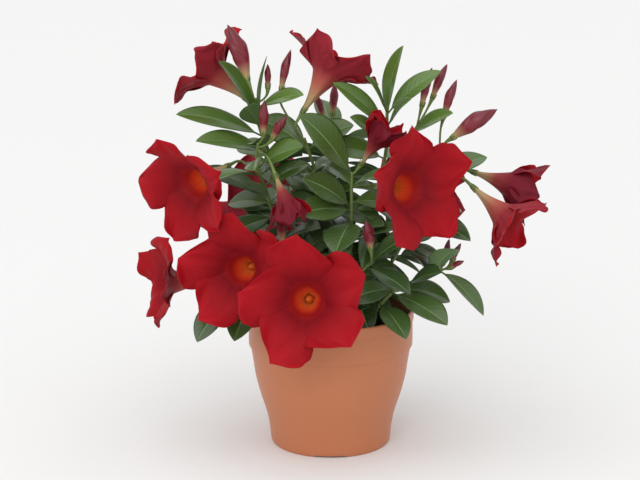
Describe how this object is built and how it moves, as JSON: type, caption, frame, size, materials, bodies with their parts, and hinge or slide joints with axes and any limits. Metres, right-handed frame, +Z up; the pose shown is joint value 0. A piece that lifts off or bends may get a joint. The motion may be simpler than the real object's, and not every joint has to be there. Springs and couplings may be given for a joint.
{
  "type": "potted mandevilla",
  "caption": "Compact flowering vine with glossy oval leaves, furled buds and broad red trumpet blooms, in a plain round plastic pot of soil",
  "frame": {"origin": "centre of the pot's flat underside, on the surface that it stands on", "axes": "+Z up along the pot's axis, -Y towards the side with the most blooms, +X to that side's right"},
  "size_m": [0.3461, 0.2517, 0.3581],
  "materials": {
    "pot_plastic": "moulded plastic, terracotta coloured, satin",
    "soil_peat": "dark, moist peat and bark",
    "leaf_green": "glossy leaf with a pale midrib; green stems",
    "petal_red": "velvety petal",
    "bud_maroon": "satin furled petals"
  },
  "bodies": {
    "root": {"bloom_back_left": "petal_red", "bloom_back_right": "petal_red", "bloom_far_left_low": "petal_red", "bloom_far_right": "petal_red", "bloom_front": "petal_red", "bloom_half_centre": "petal_red", "bloom_half_left": "petal_red", "bloom_half_right": "petal_red", "bloom_left": "petal_red", "bloom_left_low": "petal_red", "bloom_right": "petal_red", "bloom_top": "petal_red", "bloom_top_left": "petal_red", "bud_back_1": "bud_maroon", "bud_back_2": "bud_maroon", "bud_centre": "bud_maroon", "bud_left_1": "bud_maroon", "bud_left_2": "bud_maroon", "bud_left_3": "bud_maroon", "bud_low_1": "bud_maroon", "bud_low_2": "bud_maroon", "bud_low_3": "bud_maroon", "bud_right_1": "bud_maroon", "bud_right_2": "bud_maroon", "bud_right_3": "bud_maroon", "bud_right_big": "bud_maroon", "bud_top_1": "bud_maroon", "bud_top_2": "bud_maroon", "bud_top_big": "bud_maroon", "pot": "pot_plastic", "soil": "soil_peat", "stem_back": "leaf_green", "stem_back_left": "leaf_green", "stem_back_right": "leaf_green", "stem_centre": "leaf_green", "stem_front": "leaf_green", "stem_left_low": "leaf_green", "stem_left_mid": "leaf_green", "stem_right": "leaf_green", "stem_right_low": "leaf_green", "stem_top_centre": "leaf_green", "stem_top_left": "leaf_green", "stem_top_right": "leaf_green"}
  },
  "joints": []
}
